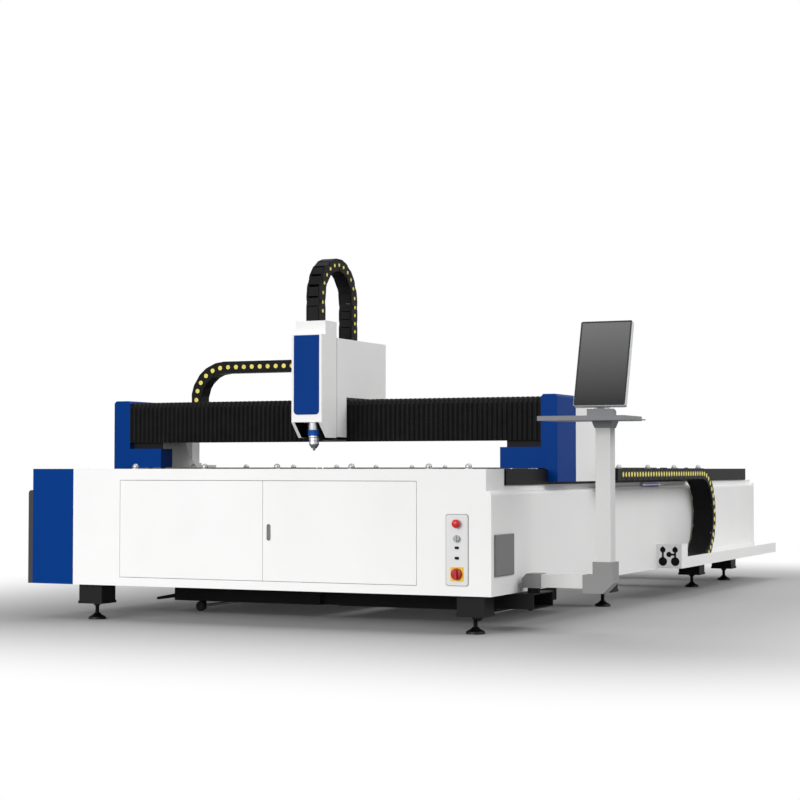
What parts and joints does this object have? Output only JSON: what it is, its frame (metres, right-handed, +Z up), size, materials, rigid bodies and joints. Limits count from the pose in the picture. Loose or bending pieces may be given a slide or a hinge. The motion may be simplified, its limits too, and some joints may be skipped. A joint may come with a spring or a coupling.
{
  "type": "fiber laser cutting machine",
  "caption": "Open-bed fiber laser cutting machine with a gantry, bellows and drag chains, a lifting cutting head, slatted table, front cabinet and swing-arm operator console.",
  "frame": {"origin": "middle of the bounding box's bottom face, on the floor", "axes": "+X to the right along the machine's front, +Y from the front to the rear along the bed, +Z up"},
  "size_m": [3.54, 5.609, 2.0732],
  "materials": {
    "white_paint": "satin powder coat",
    "blue_paint": "satin powder coat",
    "dark_grey_paint": "matt powder coat",
    "grey_paint": "satin powder coat",
    "light_grey_paint": "satin powder coat",
    "cast_grey": "painted casting",
    "ground_steel": "ground",
    "slat_steel": "mill scale",
    "ball_steel": "polished",
    "aluminium": "anodised",
    "bellows_fabric": "coated",
    "chain_plastic": "moulded",
    "black_plastic": "moulded",
    "wheel_rubber": "moulded",
    "red_plastic": "gloss",
    "yellow_plastic": "gloss",
    "grey_plastic": "moulded",
    "screen_black": "gloss"
  },
  "bodies": {
    "bed": {"bed_frame": "dark_grey_paint", "levelling_feet": "ground_steel", "front_cabinet": "white_paint", "left_end_cabinet": "blue_paint", "bed_covers": "white_paint", "left_guard": "dark_grey_paint", "side_plate": "dark_grey_paint", "side_cylinder": "aluminium", "rail_beams": "light_grey_paint", "guide_rails": "ground_steel", "table_frame": "light_grey_paint", "slats": "slat_steel", "ball_transfers": "ball_steel", "chain_tray": "white_paint", "electrical_panel": "black_plastic", "laser_source": "light_grey_paint", "control_plate": "grey_plastic", "switch_plate": "yellow_plastic", "console_bracket": "dark_grey_paint", "y_chain_runs": "chain_plastic"},
    "left_door": {"left_door": "white_paint"},
    "right_door": {"right_door": "white_paint", "door_pull": "grey_plastic"},
    "emergency_button": {"emergency_button": "red_plastic"},
    "key_switch": {"key_switch": "grey_plastic"},
    "main_switch": {"main_switch": "red_plastic"},
    "slag_cart": {"slag_cart": "dark_grey_paint"},
    "front_wheels": {"front_wheels": "wheel_rubber"},
    "rear_wheels": {"rear_wheels": "wheel_rubber"},
    "gantry": {"gantry_saddles": "cast_grey", "guide_blocks": "ground_steel", "y_motors": "black_plastic", "gantry_beam": "grey_paint", "x_guide_rails": "ground_steel", "end_covers": "blue_paint", "rear_housings": "white_paint", "bellows": "bellows_fabric", "chain_brackets": "grey_paint", "x_chain_runs": "chain_plastic"},
    "left_pinion": {"left_pinion": "ground_steel"},
    "right_pinion": {"right_pinion": "ground_steel"},
    "y_chain_loop": {"y_chain_loop": "chain_plastic"},
    "x_chain_loop": {"x_chain_loop": "chain_plastic"},
    "carriage": {"carriage_plate": "aluminium", "carriage_housing": "white_paint", "carriage_motors": "black_plastic", "z_base_plate": "aluminium", "z_chain": "chain_plastic"},
    "x_pinion": {"x_pinion": "ground_steel"},
    "z_screw": {"z_screw": "ground_steel"},
    "head": {"head_plate": "aluminium", "front_cover": "white_paint", "head_panel": "blue_paint", "cutting_head": "aluminium", "sensor_ring": "blue_paint"},
    "console_arm": {"arm_elbows": "grey_paint", "arm_tubes": "white_paint", "console_tray": "light_grey_paint"},
    "monitor": {"monitor_housing": "light_grey_paint", "screen": "screen_black"}
  },
  "joints": [
    {"name": "gantry_slide", "type": "slide", "parent": "bed", "child": "gantry", "axis": [0, 1, 0], "range_m": [0, 3.45], "deforming": ["y_chain_runs"]},
    {"name": "carriage_slide", "type": "slide", "parent": "gantry", "child": "carriage", "axis": [1, 0, 0], "range_m": [-0.8, 0.75], "deforming": ["bellows", "x_chain_runs"]},
    {"name": "head_slide", "type": "slide", "parent": "carriage", "child": "head", "axis": [0, 0, 1], "range_m": [-0.06, 0.08], "deforming": ["z_chain"]},
    {"name": "y_chain_travel", "type": "slide", "parent": "bed", "child": "y_chain_loop", "axis": [0, 1, 0], "range_m": [-0.01, 1.74]},
    {"name": "x_chain_travel", "type": "slide", "parent": "gantry", "child": "x_chain_loop", "axis": [1, 0, 0], "range_m": [-0.41, 0.385]},
    {"name": "left_pinion_turn", "type": "hinge", "parent": "gantry", "child": "left_pinion", "pos_m": [-1.5856, -1.3005, 0.764], "axis": [0, 0, 1], "range_deg": [-5, 6182]},
    {"name": "right_pinion_turn", "type": "hinge", "parent": "gantry", "child": "right_pinion", "pos_m": [0.9156, -1.3005, 0.764], "axis": [0, 0, 1], "range_deg": [-6182, 5]},
    {"name": "x_pinion_turn", "type": "hinge", "parent": "carriage", "child": "x_pinion", "pos_m": [-0.2725, -1.8655, 1.0871], "axis": [0, 1, 0], "range_deg": [-2154, 2297]},
    {"name": "z_screw_turn", "type": "hinge", "parent": "carriage", "child": "z_screw", "pos_m": [-0.2725, -2.0525, 1.08], "axis": [0, 0, 1], "range_deg": [-2165, 2885]},
    {"name": "left_door_hinge", "type": "hinge", "parent": "bed", "child": "left_door", "pos_m": [-1.155, -2.7705, 0.5155], "axis": [0, 0, -1], "range_deg": [0, 105]},
    {"name": "right_door_hinge", "type": "hinge", "parent": "bed", "child": "right_door", "pos_m": [0.656, -2.7705, 0.5155], "axis": [0, 0, 1], "range_deg": [0, 105]},
    {"name": "emergency_press", "type": "slide", "parent": "bed", "child": "emergency_button", "axis": [0, 1, 0], "range_m": [0, 0.0035], "stiffness_N_per_m": 1500, "springref_m": -0.002},
    {"name": "key_turn", "type": "hinge", "parent": "bed", "child": "key_switch", "pos_m": [0.883, -2.7705, 0.49201], "axis": [0, 1, 0], "range_deg": [0, 90]},
    {"name": "main_switch_turn", "type": "hinge", "parent": "bed", "child": "main_switch", "pos_m": [0.883, -2.7705, 0.31101], "axis": [0, 1, 0], "range_deg": [0, 90]},
    {"name": "cart_slide", "type": "slide", "parent": "bed", "child": "slag_cart", "axis": [-1, 0, 0], "range_m": [0, 1.3]},
    {"name": "front_wheels_turn", "type": "hinge", "parent": "slag_cart", "child": "front_wheels", "pos_m": [-1.12, -2.0105, 0.03], "axis": [0, -1, 0], "range_deg": [-5, 2488]},
    {"name": "rear_wheels_turn", "type": "hinge", "parent": "slag_cart", "child": "rear_wheels", "pos_m": [0.66, -2.0105, 0.03], "axis": [0, -1, 0], "range_deg": [-5, 2488]},
    {"name": "console_swing", "type": "hinge", "parent": "bed", "child": "console_arm", "pos_m": [1.145, -2.3505, 0.225], "axis": [0, 0, 1], "range_deg": [-30, 40]},
    {"name": "monitor_tilt", "type": "hinge", "parent": "console_arm", "child": "monitor", "pos_m": [1.54, -2.40746, 1.1597], "axis": [1, 0, 0], "range_deg": [-15, 20]}
  ],
  "couplings": [
    {"joint": "y_chain_travel", "follows": "gantry_slide", "ratio": 0.5},
    {"joint": "left_pinion_turn", "follows": "gantry_slide", "rad_per_m": 31.25},
    {"joint": "right_pinion_turn", "follows": "gantry_slide", "rad_per_m": -31.25},
    {"joint": "x_chain_travel", "follows": "carriage_slide", "ratio": 0.5},
    {"joint": "x_pinion_turn", "follows": "carriage_slide", "rad_per_m": -50},
    {"joint": "z_screw_turn", "follows": "head_slide", "rad_per_m": 628.32},
    {"joint": "front_wheels_turn", "follows": "cart_slide", "rad_per_m": 33.333},
    {"joint": "rear_wheels_turn", "follows": "cart_slide", "rad_per_m": 33.333}
  ]
}
